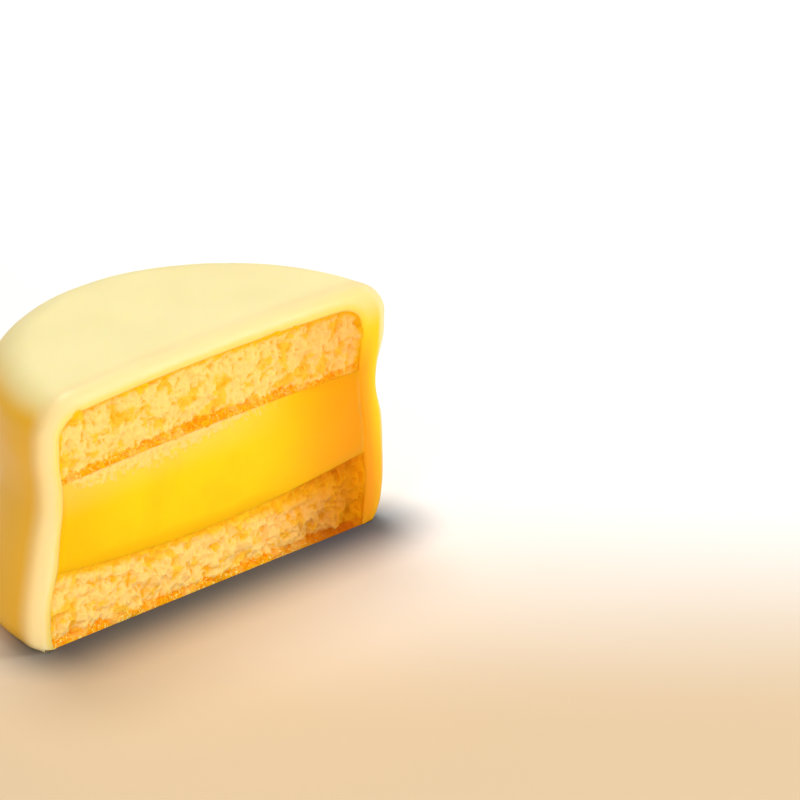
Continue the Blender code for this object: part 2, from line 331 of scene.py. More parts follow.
def smooth_at(stations, z, column):
    """Value of one column of the stations at each height, on a smooth curve through them."""
    table = np.array(stations)
    heights, values = table[:, 0], table[:, column]
    slopes = np.empty_like(values)
    slopes[1:-1] = (values[2:] - values[:-2]) / (heights[2:] - heights[:-2])
    slopes[0] = (values[1] - values[0]) / (heights[1] - heights[0])
    slopes[-1] = (values[-1] - values[-2]) / (heights[-1] - heights[-2])
    z = np.clip(z, heights[0], heights[-1])
    i = np.clip(np.searchsorted(heights, z) - 1, 0, len(heights) - 2)
    run = heights[i + 1] - heights[i]
    t = (z - heights[i]) / run
    return ((2 * t ** 3 - 3 * t ** 2 + 1) * values[i] + (t ** 3 - 2 * t ** 2 + t) * run * slopes[i]
            + (3 * t ** 2 - 2 * t ** 3) * values[i + 1] + (t ** 3 - t ** 2) * run * slopes[i + 1])


def shell_outline(stations, top, run, dome, extra=0.0):
    """Rows of radius, height and slide in mm, from the base up the wall and in to the top's middle."""
    last = stations[-1][0]
    share = np.linspace(0, 1, WALL_POINTS)
    z = last * (share - WALL_CROWDING * np.sin(2 * np.pi * share) / np.pi)
    wall = np.column_stack([smooth_at(stations, z, 1) + extra, z, smooth_at(stations, z, 2)])
    edge, slide = wall[-1, 0], wall[-1, 2]
    turn = np.linspace(0, np.pi / 2, SHOULDER_POINTS + 1)[1:]
    shoulder = np.column_stack([edge - run * (1 - np.cos(turn)), last + (top - last + extra) * np.sin(turn),
                                np.full(SHOULDER_POINTS, slide)])
    rim = edge - run
    radii = np.concatenate([np.linspace(rim, MIDDLE_RADII[0], TOP_POINTS + 1)[1:-1], MIDDLE_RADII, [0.0]])
    roof = np.column_stack([radii, top + extra + dome * (1 - (radii / rim) ** 2), slide * radii / rim])
    return np.concatenate([wall, shoulder, roof])


def outline_normals(outline):
    """Outward direction (radial, up) at each point of an outline."""
    step = np.gradient(outline[:, :2], axis=0)
    step /= np.linalg.norm(step, axis=1)[:, None]
    normals = np.column_stack([step[:, 1], -step[:, 0]])
    normals[-1] = (0.0, 1.0)
    return normals


def hollow_outline():
    """Points close together along the hollow's outline on the cut, in metres."""
    half = shell_outline(HOLLOW, HOLLOW_TOP, HOLLOW_RUN, HOLLOW_DOME)
    spread = np.linspace(0, len(half) - 1, OUTLINE_POINTS)
    radius, z, slide = (np.interp(spread, np.arange(len(half)), half[:, k]) for k in range(3))
    x = np.concatenate([slide + radius, slide - radius]) * MM + AXIS_X
    return np.column_stack([x, np.tile(z, 2) * MM])


def from_hollow(points):
    """How far each place lies from the hollow's outline, seen straight at the cut, in mm."""
    outline = hollow_outline()
    result = np.empty(len(points))
    for start in range(0, len(points), BATCH):
        some = points[start:start + BATCH, None, ::2]
        result[start:start + BATCH] = np.sqrt(((some - outline) ** 2).sum(2).min(1))
    return result / MM


def share_of_radius(points):
    """How far out each place lies between the round's middle and the hollow's wall, from 0 to 1."""
    z = points[:, 2] / MM
    x = (points[:, 0] - AXIS_X) / MM - smooth_at(HOLLOW, z, 2)
    return np.clip(np.hypot(x, (points[:, 1] - CUT_Y) / MM) / smooth_at(HOLLOW, z, 1), 0, 1)


def lower_face(share):
    """Height in mm where the bottom biscuit meets the filling."""
    return LOWER_FACE + LOWER_RISE * share ** LOWER_POWER


def upper_face(share):
    """Height in mm where the filling meets the top biscuit."""
    return UPPER_FACE - UPPER_FALL * share ** UPPER_POWER


def spin_shell():
    """Shapes a circle into the shell's section, with what each point is, and spins it half round."""
    outer = shell_outline(OUTSIDE, OUTSIDE_TOP, OUTSIDE_RUN, OUTSIDE_DOME)
    inner = shell_outline(HOLLOW, HOLLOW_TOP, HOLLOW_RUN, HOLLOW_DOME, extra=-SHELL_OVERLAP)
    share = np.linspace(0, 1, RIM_POINTS + 2)[1:-1, None]
    rim = outer[0] * share + inner[0] * (1 - share)
    section = np.concatenate([outer, inner[::-1], rim]) * MM
    normals = np.zeros((len(section), 2))
    normals[:len(outer)] = outline_normals(outer)
    order = np.arange(len(section))

    bpy.ops.object.select_all(action="DESELECT")
    bpy.ops.mesh.primitive_circle_add(vertices=len(section), radius=START_RADIUS, fill_type="NOTHING")
    piece = bpy.context.object
    piece.name = "coating_shell"
    set_points(piece, np.column_stack([section[:, 0], np.zeros(len(section)), section[:, 1]]))
    store(piece, "slide", section[:, 2])
    store(piece, "normal_out", normals[:, 0])
    store(piece, "normal_up", normals[:, 1])
    store(piece, "outside", order < len(outer))
    store(piece, "hollow", (order >= len(outer)) & (order < 2 * len(outer)))

    bpy.ops.object.mode_set(mode="EDIT")
    bpy.ops.mesh.select_all(action="SELECT")
    bpy.ops.mesh.spin(steps=TURN_STEPS, angle=math.pi, center=(0, 0, 0), axis=(0, 0, -1))
    bpy.ops.mesh.select_all(action="SELECT")
    bpy.ops.mesh.remove_doubles(threshold=MERGE_DISTANCE)
    bpy.ops.object.mode_set(mode="OBJECT")
    choose(piece, pick_edges=lambda edge: edge.is_wire)
    bpy.ops.mesh.delete(type="EDGE")
    bpy.ops.object.mode_set(mode="OBJECT")
    return piece


def soften_edge(piece, sizes):
    """Crowds the steps towards the cut, leans the shoulder and rounds the edge along the cut."""
    points = points_of(piece)
    radius = np.hypot(points[:, 0], points[:, 1])
    angle = np.arctan2(np.abs(points[:, 1]), points[:, 0])
    angle = angle - TURN_CROWDING * np.sin(2 * angle)
    outside = stored(piece, "outside")
    climb = fade(points[:, 2] / MM - WALL_TOP, OUTSIDE_TOP - WALL_TOP)
    radius = radius * (1 + outside * climb * SHOULDER_LEAN / WALL_RADIUS * np.cos(angle))
    depth = radius * np.sin(angle)
    inset = outside * sizes.lip_drop * np.clip(1 - depth / sizes.lip_reach, 0, 1) ** LIP_POWER
    lean = 1 - LIP_LEAN * radius * np.cos(angle) / (WALL_RADIUS * MM)
    inset *= np.clip(LIP_ON_FLOOR + points[:, 2] / LIP_RISE, 0, 1) * lean
    radius = radius - inset * stored(piece, "normal_out")
    height = np.maximum(points[:, 2] - inset * stored(piece, "normal_up"), 0)
    x = stored(piece, "slide") + radius * np.cos(angle) + AXIS_X
    set_points(piece, np.column_stack([x, radius * np.sin(angle) + CUT_Y, height]))


def close_cut(piece):
    """Bridges the rim between outside and hollow along the cut, and moves it a little forward."""
    layers = [stored(piece, name) for name in ("outside", "hollow")]

    def cut_outline(edge):
        ends = [vertex.index for vertex in edge.verts]
        return edge.is_boundary and any(all(flags[end] > 0.5 for end in ends) for flags in layers)

    before = len(piece.data.vertices)
    choose(piece, pick_edges=cut_outline)
    bpy.ops.mesh.bridge_edge_loops(type="SINGLE", number_cuts=RIM_POINTS, interpolation="LINEAR",
                                   smoothness=0, profile_shape_factor=0.0)
    bpy.ops.mesh.select_all(action="SELECT")
    bpy.ops.mesh.normals_make_consistent(inside=False)
    bpy.ops.object.mode_set(mode="OBJECT")
    points = points_of(piece)
    points[before:, 1] -= RIM_FORWARD
    set_points(piece, points)


def model_coating(sizes):
    """The shell of coating, spun from its section, with its soft edge, foot and wobble."""
    piece = spin_shell()
    soften_edge(piece, sizes)
    close_cut(piece)
    points = points_of(piece)
    behind = points[:, 1] - CUT_Y
    foot = np.exp(-(points[:, 2] / FOOT_HEIGHT) ** 2) * np.clip(1 - behind / FOOT_DEPTH, 0, 1)
    foot *= fade(-FOOT_FROM - points[:, 0], FOOT_RUN)
    points[:, 0] -= sizes.foot * foot * fade(from_hollow(points), FOOT_BORDER)
    set_points(piece, points)
    behind = points[:, 1] - CUT_Y
    store(piece, "behind_cut", behind)
    store(piece, "rim", from_hollow(points))
    weight_by(piece, "dipped", fade(behind, reach=4 * MM) * fade(points[:, 2], reach=3 * MM))
    displace(piece, "wobble", "CLOUDS", WOBBLE_SIZE, sizes.wobble, direction="NORMAL", group="dipped")
    # How much the surface faces up, read by the coating's painted wall shade
    normals = np.empty(len(points) * 3)
    piece.data.vertices.foreach_get("normal", normals)
    store(piece, "level", averaged(piece, normals[2::3], rounds=6))
    piece.data.shade_smooth()
    return piece


def layer_faces(node, points):
    """How far each place lies above a layer's underside and below its top, in mm."""
    share, z = share_of_radius(points), points[:, 2] / MM
    faces = {
        "bottom_biscuit": (0 * share, lower_face(share)),
        "filling": (lower_face(share), upper_face(share)),
        "top_biscuit": (upper_face(share), HOLLOW_TOP + HOLLOW_DOME * (1 - share ** 2)),
    }
    low, high = faces[node]
    return z - low, high - z


def copy_of_node(node, name, overlap):
    """A copy of a CAD node's mesh, merged and grown into its neighbours, to model finely."""
    piece = bpy.data.objects.new(name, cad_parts[node].data.copy())
    bpy.context.scene.collection.objects.link(piece)
    piece.data.materials.clear()
    select_only(piece)
    bpy.ops.mesh.customdata_custom_splitnormals_clear()
    bpy.ops.object.mode_set(mode="EDIT")
    bpy.ops.mesh.select_all(action="SELECT")
    bpy.ops.mesh.remove_doubles(threshold=MERGE_DISTANCE)
    bpy.ops.mesh.normals_make_consistent(inside=False)
    bpy.ops.object.mode_set(mode="OBJECT")
    points = points_of(piece)
    above, below = layer_faces(node, points)
    axis = np.array((AXIS_X, CUT_Y, 0))
    radius = np.hypot(points[:, 0] - axis[0], points[:, 1] - axis[1])
    points[:, :2] += (points - axis)[:, :2] * (overlap / np.maximum(radius, GROWN_FROM))[:, None]
    points[:, 2] += overlap * np.clip((above - below) / (above + below), -1, 1)
    if node == "bottom_biscuit":
        points[:, 2] = np.maximum(points[:, 2], 0)
    set_points(piece, points)
    return piece


def looks_out(normal, centre):
    """Whether a face with this direction and middle belongs to the cut."""
    return normal.y < CUT_TILT and centre.y < CUT_Y + CUT_DEPTH


def edge_ends(piece):
    """The vertices at the first and at the second end of every edge."""
    ends = np.empty(len(piece.data.edges) * 2, np.int64)
    piece.data.edges.foreach_get("vertices", ends)
    return ends[0::2], ends[1::2]


def refine_cut(piece, cuts, smoothing):
    """Divides the cut face finely, smooths it inside its border, and returns which vertices are on it."""
    choose(piece, pick_faces=lambda face: looks_out(face.normal, face.calc_center_median()))
    bpy.ops.mesh.subdivide(number_cuts=cuts)
    bpy.ops.object.mode_set(mode="OBJECT")
    on_cut, off_cut = np.zeros((2, len(piece.data.vertices)), bool)
    for face in piece.data.polygons:
        side = on_cut if looks_out(face.normal, face.center) else off_cut
        side[list(face.vertices)] = True
    border, inner = on_cut & off_cut, on_cut & ~off_cut
    choose(piece, pick_points=lambda vertex: inner[vertex.index])
    bpy.ops.mesh.vertices_smooth(factor=0.5, repeat=smoothing)
    bpy.ops.object.mode_set(mode="OBJECT")
    first, second = edge_ends(piece)
    attributes = piece.data.attributes
    sharp = attributes.get("sharp_edge") or attributes.new("sharp_edge", "BOOLEAN", "EDGE")
    sharp.data.foreach_set("value", border[first] & border[second])
    return on_cut


def averaged(piece, values, rounds):
    """Each vertex's value, averaged with its neighbours' this many times."""
    first, second = edge_ends(piece)
    size = len(piece.data.vertices)
    count = np.bincount(first, minlength=size) + np.bincount(second, minlength=size)
    for _ in range(rounds):
        total = np.bincount(first, values[second], size) + np.bincount(second, values[first], size)
        values = 0.5 * values + 0.5 * total / np.maximum(count, 1)
    return values


def model_biscuit(node, name, sizes, offset):
    """Gives a biscuit's cut face its torn crumb, from noise that is read offset mm aside."""
    piece = copy_of_node(node, name, sizes.overlap)
    on_cut = refine_cut(piece, sizes.cuts, smoothing=10)
    points = points_of(piece)
    above_base, under_top = layer_faces(node, points)
    # The relief runs out towards the coating, the underside and the top
    inside = fade(from_hollow(points), reach=0.9, least=0.1) * fade(above_base, reach=0.7, least=0.04)
    inside *= fade(under_top, reach=0.6, least=0.1)
    weight_by(piece, "cut", on_cut * inside)
    shift = Vector((offset * MM, 0, offset * MM))
    piece.data.transform(Matrix.Translation(shift))
    displace(piece, "crags", "CLOUDS", size=2.4 * MM, strength=sizes.crag_height, group="cut",
             noise_depth=1)
    displace(piece, "lumps", "DISTORTED_NOISE", size=1.5 * MM, strength=-sizes.chunk_height, group="cut",
             noise_basis="VORONOI_F1", noise_distortion="ORIGINAL_PERLIN", distortion=1.0)
    displace(piece, "ragged", "CLOUDS", size=0.9 * MM, strength=0.35 * MM, direction="RGB_TO_XYZ",
             group="cut", cloud_type="COLOR", noise_depth=1)
    displace(piece, "grain", "CLOUDS", size=0.35 * MM, strength=sizes.grain_height, direction="NORMAL",
             group="cut", noise_depth=2)
    piece.data.transform(Matrix.Translation(-shift))
    # It stands back behind the coating's edge, less beside the filling and at the right end
    points = points_of(piece)
    beside = fade(above_base if node == "top_biscuit" else under_top, reach=1.2, least=0.3)
    right = fade(18 * MM - points[:, 0], reach=8 * MM, least=0.1)
    border = fade(from_hollow(points), reach=1.2, least=0.15)
    points[:, 1] += sizes.recess * on_cut * beside * right * border
    if node == "bottom_biscuit":
        points[:, 2] = np.maximum(points[:, 2], 0)
    set_points(piece, points)
    # Pits lie behind the average of a broad and of a near surrounding
    broad = averaged(piece, points[:, 1], rounds=90)
    near = averaged(piece, points[:, 1], rounds=12)
    store(piece, "cavity", on_cut * ((points[:, 1] - broad) + 0.8 * (points[:, 1] - near)) / MM)
    store(piece, "rim", from_hollow(points))
    store(piece, "above_base", above_base)
    store(piece, "under_top", under_top)
    piece.data.shade_smooth()
    return piece


def model_filling(sizes):
    """Gives the filling's cut face its sag, its drag marks and the crumb stuck to it."""
    piece = copy_of_node("filling", "filling_layer", sizes.overlap)
    on_cut = refine_cut(piece, sizes.cuts, smoothing=16)
    points = points_of(piece)
    above, below = layer_faces("filling", points)
    # The smear hangs from the upper edge, deepest 10 mm left of the middle, and ends 13 mm right of it
    x = (points[:, 0] - AXIS_X) / MM
    across = fade(13 - x, reach=14) * fade(x + 23.5, reach=2)
    depth = 1.1 + 1.2 * np.exp(-((x + 10) / 9) ** 2)
    smear = on_cut * across * np.clip(1.15 - below / depth, 0, 1)
    weight_by(piece, "dragged", smear * fade(below + 0.3, reach=1.1, least=0.12))
    weight_by(piece, "cut", on_cut * fade(np.minimum(above, below), reach=1.0, least=0.1))
    displace(piece, "sag", "CLOUDS", size=6 * MM, strength=0.25 * MM, group="cut")
    displace(piece, "smear", "DISTORTED_NOISE", size=0.9 * MM, strength=-0.40 * MM, middle=0.2,
             group="dragged", noise_basis="VORONOI_F1", noise_distortion="ORIGINAL_PERLIN", distortion=1.0)
    displace(piece, "crumbs", "CLOUDS", size=0.40 * MM, strength=0.20 * MM, direction="NORMAL",
             group="dragged", noise_depth=2)
    # Beside the coating the face is held level with the cut
    points = points_of(piece)
    held = on_cut * np.clip(1.1 - from_hollow(points) / 0.8, 0, 1)
    points[:, 1] += held * (CUT_Y - BORDER_FORWARD - points[:, 1])
    set_points(piece, points)
    proud = averaged(piece, points[:, 1], rounds=30) - points[:, 1]
    store(piece, "smear", smear + on_cut * (smear > 0) * proud / MM)
    store(piece, "above_base", above)
    store(piece, "under_top", below)
    store(piece, "rim", from_hollow(points))
    piece.data.shade_smooth()
    return piece


def new_material(name):
    """A node material with its shader, ready to wire."""
    material = bpy.data.materials.new(name)
    material.use_nodes = True
    return material, material.node_tree, material.node_tree.nodes["Principled BSDF"]


def add_node(tree, kind, values=(), links=(), **settings):
    """A node with its settings, its sockets' values by name or place, and its links."""
    made = tree.nodes.new(kind)
    for key, value in settings.items():
        setattr(made, key, value)
    for key, value in dict(values).items():
        made.inputs[key].default_value = value
    for key, source in dict(links).items():
        tree.links.new(source, made.inputs[key])
    return made


def feed(tree, socket, item):
    """Sets a socket from another socket, a number or a plain colour."""
    if isinstance(item, bpy.types.NodeSocket):
        tree.links.new(item, socket)
    elif isinstance(item, (int, float)):
        socket.default_value = item
    else:
        socket.default_value = (*item, 1.0)


def mix_colours(tree, share, first, second):
    """Colour between two, each a socket or a plain colour; share is a socket or a number."""
    made = tree.nodes.new("ShaderNodeMix")
    made.data_type = "RGBA"
    for place, item in ((0, share), (6, first), (7, second)):
        feed(tree, made.inputs[place], item)
    return made.outputs[2]


def ramp(tree, value, low, high, to_low=0.0, to_high=1.0):
    """Value turned smoothly from low..high into to_low..to_high, and held at the ends."""
    made = tree.nodes.new("ShaderNodeMapRange")
    made.interpolation_type = "SMOOTHSTEP"
    for place, item in enumerate((value, low, high, to_low, to_high)):
        feed(tree, made.inputs[place], item)
    return made.outputs[0]


def combine(tree, operation, first, second=0.0):
    """Arithmetic on two values, each a socket or a number."""
    made = tree.nodes.new("ShaderNodeMath")
    made.operation = operation
    feed(tree, made.inputs[0], first)
    feed(tree, made.inputs[1], second)
    return made.outputs[0]


def product(tree, first, second):
    """Two values multiplied, each a socket or a number."""
    return combine(tree, "MULTIPLY", first, second)


def noise(tree, place, size, detail=2.0, roughness=0.6, stretch=None):
    """Noise with lumps about this many mm across."""
    if stretch:
        place = add_node(tree, "ShaderNodeVectorMath", {1: stretch}, {0: place},
                         operation="MULTIPLY").outputs[0]
    values = {"Scale": 1.0 / (size * MM), "Detail": detail, "Roughness": roughness}
    return add_node(tree, "ShaderNodeTexNoise", values, {"Vector": place}).outputs["Fac"]


def group_with(name, inputs, outputs):
    """A shader node group with these sockets: (name, type, default) in and (name, type) out."""
    tree = bpy.data.node_groups.new(name, "ShaderNodeTree")
    for label, kind, default in inputs:
        socket = tree.interface.new_socket(label, in_out="INPUT", socket_type=kind)
        if default is not None:
            socket.default_value = default
    for label, kind in outputs:
        tree.interface.new_socket(label, in_out="OUTPUT", socket_type=kind)
    return tree, tree.nodes.new("NodeGroupInput").outputs, tree.nodes.new("NodeGroupOutput").inputs


def make_end_shade():
    """Group: how far a place lies towards the +X end of the cut, where less light reaches in."""
    inputs = (("Vector", "NodeSocketVector", None), ("From", "NodeSocketFloat", 4.0),
              ("To", "NodeSocketFloat", 24.0))
    tree, given, out = group_with("End shade", inputs, (("Mask", "NodeSocketFloat"),))
    parts = add_node(tree, "ShaderNodeSeparateXYZ", links={0: given["Vector"]})
    x_mm = combine(tree, "DIVIDE", parts.outputs["X"], MM)
    moved = jitter(tree, given["Vector"], 9.0, 6.0, x_mm, detail=2.0)
    tree.links.new(ramp(tree, moved, given["From"], given["To"]), out["Mask"])


def make_grain():
    """Group: grain of two sizes, as a height for bumps and as a mask."""
    inputs = (("Vector", "NodeSocketVector", None), ("Size", "NodeSocketFloat", 1.0))
    outputs = (("Height", "NodeSocketFloat"), ("Mask", "NodeSocketFloat"))
    tree, given, out = group_with("Grain", inputs, outputs)
    scale = combine(tree, "DIVIDE", 1.0 / MM, given["Size"])
    coarse = add_node(tree, "ShaderNodeTexNoise", {"Detail": 3.0, "Roughness": 0.65},
                      {"Vector": given["Vector"], "Scale": scale}).outputs["Fac"]
    fine = add_node(tree, "ShaderNodeTexNoise", {"Detail": 2.0, "Roughness": 0.6},
                    {"Vector": given["Vector"], "Scale": product(tree, scale, 3.3)}).outputs["Fac"]
    height = combine(tree, "ADD", product(tree, coarse, 0.65), product(tree, fine, 0.35))
    tree.links.new(height, out["Height"])
    tree.links.new(ramp(tree, height, 0.42, 0.60), out["Mask"])


def use_group(tree, name, values, place):
    """Outputs of a node that puts a shared group into a material, read at this place."""
    group = bpy.data.node_groups[name]
    return add_node(tree, "ShaderNodeGroup", values, {"Vector": place}, node_tree=group).outputs


def object_place(tree):
    """Object coordinates and their three parts."""
    place = tree.nodes.new("ShaderNodeTexCoord").outputs["Object"]
    return place, add_node(tree, "ShaderNodeSeparateXYZ", links={0: place}).outputs


def bump(tree, shader, height, strength, distance):
    """Bumps on the shader; distance in mm."""
    values = {"Strength": strength, "Distance": distance * MM}
    made = add_node(tree, "ShaderNodeBump", values, {"Height": height})
    tree.links.new(made.outputs["Normal"], shader.inputs["Normal"])


def set_gloss(shader, level, tint):
    """Sets how strong the shader's plain reflections are, and their tint."""
    shader.inputs["Specular IOR Level"].default_value = level
    shader.inputs["Specular Tint"].default_value = (*tint, 1.0)

def soften(shader, weight, reach, radius):
    """Light that soaks in and out again; reach in mm, radius for red, green and blue."""
    shader.inputs["Subsurface Weight"].default_value = weight
    shader.inputs["Subsurface Scale"].default_value = reach * MM
    shader.inputs["Subsurface Radius"].default_value = radius


def stored_value(tree, name):
    """A number kept on the piece's vertices."""
    return add_node(tree, "ShaderNodeAttribute", attribute_name=name).outputs["Fac"]


def jitter(tree, place, size, width, value, detail=3.0):
    """Value moved up and down by noise of this size, by up to about half the width."""
    wave = combine(tree, "SUBTRACT", noise(tree, place, size, detail), 0.5)
    return combine(tree, "ADD", value, product(tree, wave, width))


def coating_material(colours):
    """Satin coating: pale on top, with painted shade deeper down the wall, and amber painted shade with
    warm bounce light at the right end of the cut edge.
    """
    material, tree, shader = new_material("coating_satin")
    place, parts = object_place(tree)
    behind, rim = stored_value(tree, "behind_cut"), stored_value(tree, "rim")

    # Painted shade: the coating is pale, and where its surface turns from facing up, the wall is painted
    # deeper as shade, paler again towards the back
    level = ramp(tree, stored_value(tree, "level"), 0.40, 0.98)
    mottle = ramp(tree, noise(tree, place, 9.0, 3.0), 0.35, 0.65)
    lift = combine(tree, "ADD", product(tree, level, 0.96), product(tree, mottle, 0.04))
    back = ramp(tree, parts["Y"], CUT_Y + 10 * MM, CUT_Y + 24 * MM, 0.0, 0.45)
    wall = mix_colours(tree, back, colours.coating_shaded_wall, colours.coating)
    body = mix_colours(tree, lift, wall, colours.coating)

    # The soft edge along the cut, painted pale as it catches the front light and so without the wall's
    # painted shade, golden where it meets the crumb
    edge = ramp(tree, behind, 0.6 * MM, 4.0 * MM, 1.0, 0.0)
    body = mix_colours(tree, edge, body, colours.coating_edge)
    cut = ramp(tree, behind, 0.1 * MM, 0.9 * MM, 1.0, 0.0)
    near_crumb = ramp(tree, jitter(tree, place, 1.5, 0.4, rim), 0.05, 1.0, 0.6, 0.0)
    body = mix_colours(tree, product(tree, cut, near_crumb), body, EDGE_BY_CRUMB)

    # Painted shade and warm bounce light at the right end: the amber strip, from the hollow outwards, and
    # its darker foot
    end = use_group(tree, "End shade", {"From": 8.0, "To": 25.0}, place)["Mask"]
    near_cut_face = ramp(tree, behind, 0.2 * MM, 1.6 * MM, 1.0, 0.0)
    high = ramp(tree, parts["Z"], 20 * MM, 27 * MM)
    inner = mix_colours(tree, high, colours.coating_amber_shade, STRIP_HIGH)
    strip = mix_colours(tree, ramp(tree, rim, 0.4, 2.4), inner, STRIP_MIDDLE)
    strip = mix_colours(tree, ramp(tree, rim, 2.3, 3.1), strip, colours.coating_edge)
    fading = product(tree, end, ramp(tree, parts["Z"], 25 * MM, 30 * MM, 1.0, 0.2))
    body = mix_colours(tree, product(tree, near_cut_face, fading), body, strip)
    low = product(tree, ramp(tree, parts["Z"], 4 * MM, 16 * MM, 0.45, 0.0), end)
    body = mix_colours(tree, product(tree, near_cut_face, low), body, colours.shade_end)

    tree.links.new(body, shader.inputs["Base Color"])
    tree.links.new(ramp(tree, mottle, 0.0, 1.0, 0.34, 0.46), shader.inputs["Roughness"])
    set_gloss(shader, 0.25, (1.0, 0.9, 0.6))
    soften(shader, 0.45, 2.6, (1.0, 0.75, 0.35))
    bump(tree, shader, use_group(tree, "Grain", {"Size": 0.9}, place)["Height"], 0.10, 0.05)
    return material


def crumb_material(name, colours, line, golden):
    """Crumb: pale lumps and deeper gaps, a browned line above the base, a golden layer under the top, and
    painted shade in pits, along the coating, under the filling and at the right end.

    line holds the browned line's height, its extra height near the middle and its half width in mm,
    and the share of pale grains in it. golden holds the golden layer's thickness at the left and at
    the right in mm, or is None where there is no such layer.
    """
    material, tree, shader = new_material(name)
    place, parts = object_place(tree)
    cavity, rim = stored_value(tree, "cavity"), stored_value(tree, "rim")
    base, under = stored_value(tree, "above_base"), stored_value(tree, "under_top")
    height, rise, half_width, grains = line
    fine = use_group(tree, "Grain", {"Size": 0.42}, place)

    # Pale lumps with deeper patches; pits and the edge along the coating are painted deeper as shade
    patches = ramp(tree, noise(tree, place, 2.7, 3.0), 0.50, 0.60)
    body = mix_colours(tree, product(tree, patches, 0.8), colours.crumb, colours.crumb_deep_and_shade)
    depth = jitter(tree, place, 1.1, 0.35, cavity)
    body = mix_colours(tree, ramp(tree, depth, 0.06, 0.36, 0.0, 0.8), body, colours.crumb_deep_and_shade)
    edge = ramp(tree, jitter(tree, place, 1.5, 1.8, rim), 0.45, 1.3, 1.0, 0.0)
    body = mix_colours(tree, edge, body, colours.crumb_deep_and_shade)
    if golden:
        left, right = golden
        share = ramp(tree, parts["X"], -6 * MM, 22 * MM)
        layer = combine(tree, "ADD", left, product(tree, share, right - left))
        share = combine(tree, "DIVIDE", jitter(tree, place, 1.3, 1.2, under), layer)
        body = mix_colours(tree, ramp(tree, share, 0.5, 1.3, 0.95, 0.0), body, colours.crumb_deep_and_shade)

    # The browned line, higher near the middle, in patches and with darker spots
    x_share = combine(tree, "DIVIDE", combine(tree, "ADD", parts["X"], 2 * MM), 12 * MM)
    hump = combine(tree, "POWER", math.e, product(tree, product(tree, x_share, x_share), -1.0))
    centre = combine(tree, "ADD", height, product(tree, hump, rise))
    offset = combine(tree, "SUBTRACT", jitter(tree, place, 0.6, 1.1, base), centre)
    away = combine(tree, "ABSOLUTE", offset)
    spots = mix_colours(tree, fine["Mask"], colours.baked, colours.baked_dark)
    patchy = ramp(tree, noise(tree, place, 3.2, 2.0), 0.35, 0.50, 0.6, 1.0)
    browned = product(tree, ramp(tree, away, 0.75 * half_width, 1.25 * half_width, 1.0, 0.0), patchy)
    body = mix_colours(tree, browned, body, spots)

    # Pale grains along the line
    bright = noise(tree, place, 0.27, 1.0, roughness=0.5)
    beside = ramp(tree, away, 0.8 * half_width, 2.2 * half_width, grains, 0.10)
    thick = product(tree, beside, ramp(tree, noise(tree, place, 1.4, 2.0), 0.40, 0.56))
    body = mix_colours(tree, product(tree, ramp(tree, bright, 0.54, 0.63), thick), body, SUGAR)

    # Less light reaches the right end
    end = use_group(tree, "End shade", {"From": 6.0, "To": 24.0}, place)["Mask"]
    body = mix_colours(tree, product(tree, end, 1.0 if golden else 0.35), body, colours.shade_end)
    if golden:
        # Painted shade under the filling's overhanging edge, deeper at the right end
        shade_under_filling = ramp(tree, under, 0.0, 0.5, 0.7, 0.0)
        body = mix_colours(tree, shade_under_filling, body, PAINTED_SHADE_UNDER_FILLING)
        shade_under_filling_end = product(tree, ramp(tree, under, 0.0, 2.4, 0.8, 0.0), end)
        body = mix_colours(tree, shade_under_filling_end, body, PAINTED_SHADE_UNDER_FILLING_END)
        # Painted shade beside the coating's right end, and on the browned line there
        shade_by_strip = product(tree, ramp(tree, rim, 0.2, 2.6, 0.75, 0.0), end)
        body = mix_colours(tree, shade_by_strip, body, PAINTED_SHADE_BY_STRIP)
        body = mix_colours(tree, product(tree, end, browned), body, SHADED_BROWNED_END)

    tree.links.new(body, shader.inputs["Base Color"])
    shader.inputs["Roughness"].default_value = 0.85
    set_gloss(shader, 0.10, (1.0, 0.85, 0.5))
    soften(shader, 0.35, 1.8, (1.0, 0.6, 0.15))
    bump(tree, shader, fine["Height"], 0.30, 0.18)
    return material


